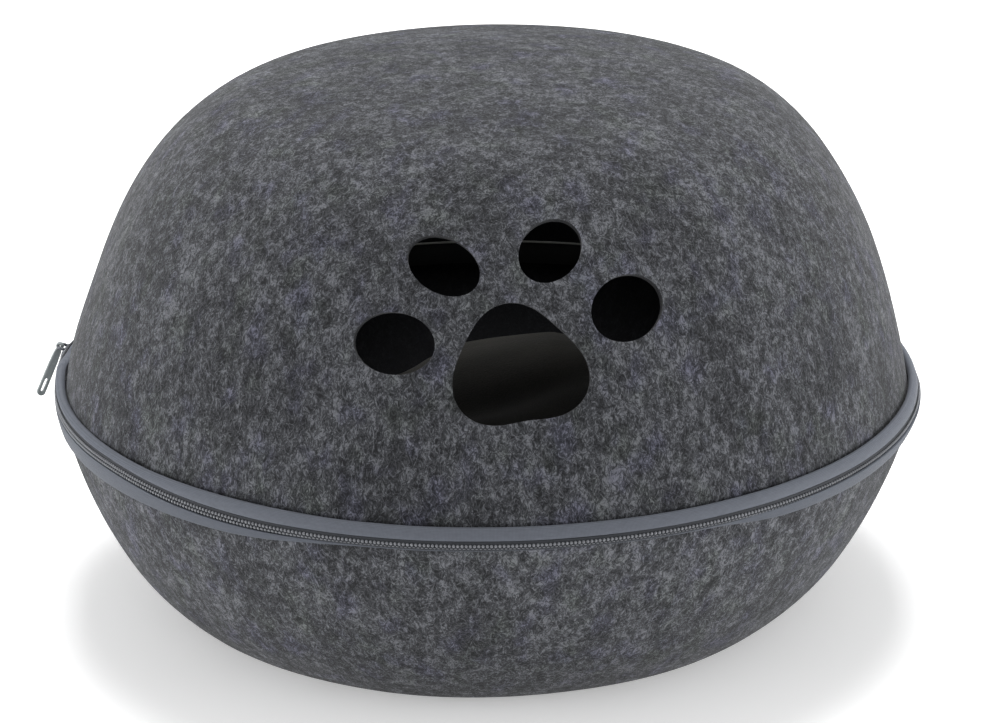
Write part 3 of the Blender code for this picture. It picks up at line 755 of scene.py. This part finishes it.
inner, outer, reach = pullShape["hole"], pullShape["collar"], pullShape["collarHalf"]
collar = drawProfile("collar", [(inner, 0, -reach), (inner, 0, reach), (outer - 0.0006, 0, reach), (outer, 0, reach - 0.0006), (outer, 0, 0.0006 - reach), (outer - 0.0006, 0, -reach)], closed=True)
spinRound(collar, 28)
collar.data.transform(barPlace)
zipPull = joinPieces(zipPull, [collar])
smooth(zipPull, 40)
finishPiece(zipPull, "zip_pull", looks["pull"])
print("slider and pull ready")

cushionShape = {
    "radius": 0.194, "seam": 0.050, "crown": 0.032, "crownFullness": 3.2, "belly": 0.053, "bellyFullness": 2.6,
    "floor": 0.0046, "voxel": 0.006, "pressure": 4.0, "cap": 0.010, "frames": 20, "groove": 0.0022, "backRise": 0.0105,
    "backSlope": 0.15, "slack": 0.009,
}
cushionFolds = (  # start, end, depth, width
    ((-0.09, -0.02), (0.11, 0.09), 0.0040, 0.012),
    ((-0.02, -0.13), (0.08, -0.06), 0.0030, 0.010),
    ((-0.12, 0.06), (-0.03, 0.13), 0.0032, 0.011),
    ((0.05, -0.01), (0.14, -0.05), 0.0026, 0.009),
)


def cushionLine():
    shape = cushionShape
    line = []
    for index in range(15):
        angle = math.pi / 2 * index / 14
        radius = shape["radius"] * math.sin(angle)
        line.append((radius, shape["seam"] + shape["crown"] * (1 - (radius / shape["radius"]) ** shape["crownFullness"]) ** 0.5))
    for index in range(1, 12):
        angle = math.pi / 2 * (1 - index / 14)
        radius = shape["radius"] * math.sin(angle)
        height = shape["seam"] - shape["belly"] * (1 - (radius / shape["radius"]) ** shape["bellyFullness"]) ** 0.5
        if height <= shape["floor"]:
            break
        line.append((radius, height))
    return line + [(line[-1][0] - 0.012, shape["floor"]), (0.05, shape["floor"]), (0.0, shape["floor"])]


def makeCushion():
    cushion = drawProfile("softCushion", [(radius, 0.0, height) for radius, height in cushionLine()])
    spinRound(cushion, 96)
    addModifier(cushion, "REMESH", mode="VOXEL", voxel_size=cushionShape["voxel"], use_smooth_shade=True)
    starts = [vertex.co.copy() for vertex in cushion.data.vertices]
    cloth = cushion.modifiers.new("Cloth", "CLOTH")
    cloth.settings.use_pressure = True
    cloth.settings.uniform_pressure_force = cushionShape["pressure"]
    cloth.settings.effector_weights.gravity = 0
    cloth.point_cache.frame_end = cushionShape["frames"]
    scene = bpy.context.scene
    for number in range(1, cushionShape["frames"] + 1):
        scene.frame_set(number)
    pick(cushion)
    bpy.ops.object.modifier_apply(modifier=cloth.name)
    scene.frame_set(1)
    for vertex, start in zip(cushion.data.vertices, starts):
        moved = vertex.co - start
        if moved.length > cushionShape["cap"]:
            vertex.co = start + moved.normalized() * cushionShape["cap"]
    addModifier(cushion, "SUBSURF", levels=1, render_levels=1)
    for vertex in cushion.data.vertices:
        point = vertex.co
        if point.z > cushionShape["seam"] + 0.005:
            for start, end, depth, width in cushionFolds:
                first, last = Vector(start), Vector(end)
                run = last - first
                flat = Vector((point.x, point.y))
                share = min(1.0, max(0.0, (flat - first).dot(run) / run.dot(run)))
                away = (flat - first - share * run).length
                taper = math.sin(math.pi * min(0.97, max(0.03, share)))
                vertex.co.z -= depth * taper * math.exp(-0.5 * (away / width) ** 2)
        if point.z > cushionShape["seam"] + 0.004:
            back = min(1.0, max(0.0, (point.y + 0.03) / 0.15))
            slack = min(1.0, max(0.0, (-0.018 - point.x) / 0.035))
            rise = cushionShape["backRise"] + cushionShape["backSlope"] * point.x - cushionShape["slack"] * slack
            vertex.co.z += min(0.017, max(-0.012, rise)) * back * back * (3 - 2 * back)
        sag = 0.0025 * noise.noise(point * 16)
        vertex.co.z += sag if point.z > cushionShape["seam"] else 0
        pinch = cushionShape["groove"] * math.exp(-0.5 * ((point.z - cushionShape["seam"]) / 0.0026) ** 2)
        outward = Vector((point.x, point.y, 0))
        if outward.length > 0.15:
            vertex.co -= outward.normalized() * pinch
        vertex.co.z = max(vertex.co.z, cushionShape["floor"])
    leanOver(cushion)
    smooth(cushion, 80)
    return cushion


cushion = makeCushion()
finishPiece(cushion, "cushion", looks["cushion"])
print("cushion ready")

cameraView = {"centre": (0.0031, 0.0, 0.1235), "distance": 1.8, "elevation": 20.31, "aimRight": 0.00724, "aimUp": 0.0086, "roll": -0.51, "lens": 111.33}


def placeCamera():
    data = bpy.data.cameras.new("camera")
    data.lens = cameraView["lens"]
    data.sensor_width = 36
    data.clip_start = 0.05
    camera = bpy.data.objects.new("camera", data)
    bpy.context.scene.collection.objects.link(camera)
    tilt = math.radians(cameraView["elevation"])
    centre = Vector(cameraView["centre"])
    place = centre + cameraView["distance"] * Vector((0, -math.cos(tilt), math.sin(tilt)))
    aim = centre + Vector((cameraView["aimRight"], 0, cameraView["aimUp"]))
    forward = (aim - place).normalized()
    right = forward.cross(Vector((0, 0, 1))).normalized()
    up = right.cross(forward)
    roll = math.radians(cameraView["roll"])
    sideways = right * math.cos(roll) + up * math.sin(roll)
    upright = up * math.cos(roll) - right * math.sin(roll)
    camera.matrix_world = Matrix.Translation(place) @ Matrix((sideways, upright, -forward)).transposed().to_4x4()
    bpy.context.scene.camera = camera


lights = (  # name, place, what it points at, width, depth, watts
    ("topLight", (0.0, 0.5, 1.9), (0.0, 0.0, 0.2), 1.0, 1.0, 45),
    ("leftLight", (-1.7, -0.4, 0.2), (0.0, 0.0, 0.12), 1.2, 0.4, 16.5),
    ("rightLight", (1.7, -0.4, 0.2), (0.0, 0.0, 0.12), 1.2, 0.4, 18),
    ("frontLight", (0.0, -2.4, 0.9), (0.0, 0.0, 0.15), 1.6, 1.0, 5),
    ("backdropLight", (0.0, 2.8, 2.0), (0.0, 3.6, 0.0), 3.0, 1.5, 32),
)
room = {"brightness": 0.58, "floorGlow": 0.3, "floorColor": (0.93, 0.93, 0.93, 1), "floorSize": 30.0, "floorGap": 0.0004}


def placeLights():
    for name, place, target, width, depth, watts in lights:
        data = bpy.data.lights.new(name, "AREA")
        data.shape = "RECTANGLE"
        data.size, data.size_y, data.energy = width, depth, watts
        light = bpy.data.objects.new(name, data)
        bpy.context.scene.collection.objects.link(light)
        aim = Vector(target) - Vector(place)
        light.matrix_world = Matrix.Translation(place) @ aim.to_track_quat("-Z", "Y").to_matrix().to_4x4()
    world = bpy.data.worlds.new("studio")
    world.use_nodes = True
    world.node_tree.nodes["Background"].inputs["Color"].default_value = (1, 1, 1, 1)
    world.node_tree.nodes["Background"].inputs["Strength"].default_value = room["brightness"]
    bpy.context.scene.world = world


placeCamera()
placeLights()
deselectAll()
bpy.ops.mesh.primitive_plane_add(size=room["floorSize"], location=(0, 0, -room["floorGap"]))
floor = bpy.context.object
floor.name = "floor"
floorLook, _, _ = startMaterial("pale floor", Base_Color=room["floorColor"], Roughness=0.9, Specular_IOR_Level=0.1, Emission_Color=(1, 1, 1, 1), Emission_Strength=room["floorGlow"])
floor.data.materials.append(floorLook)
bpy.context.scene.view_settings.view_transform = "Standard"
print("camera, lights and floor ready")
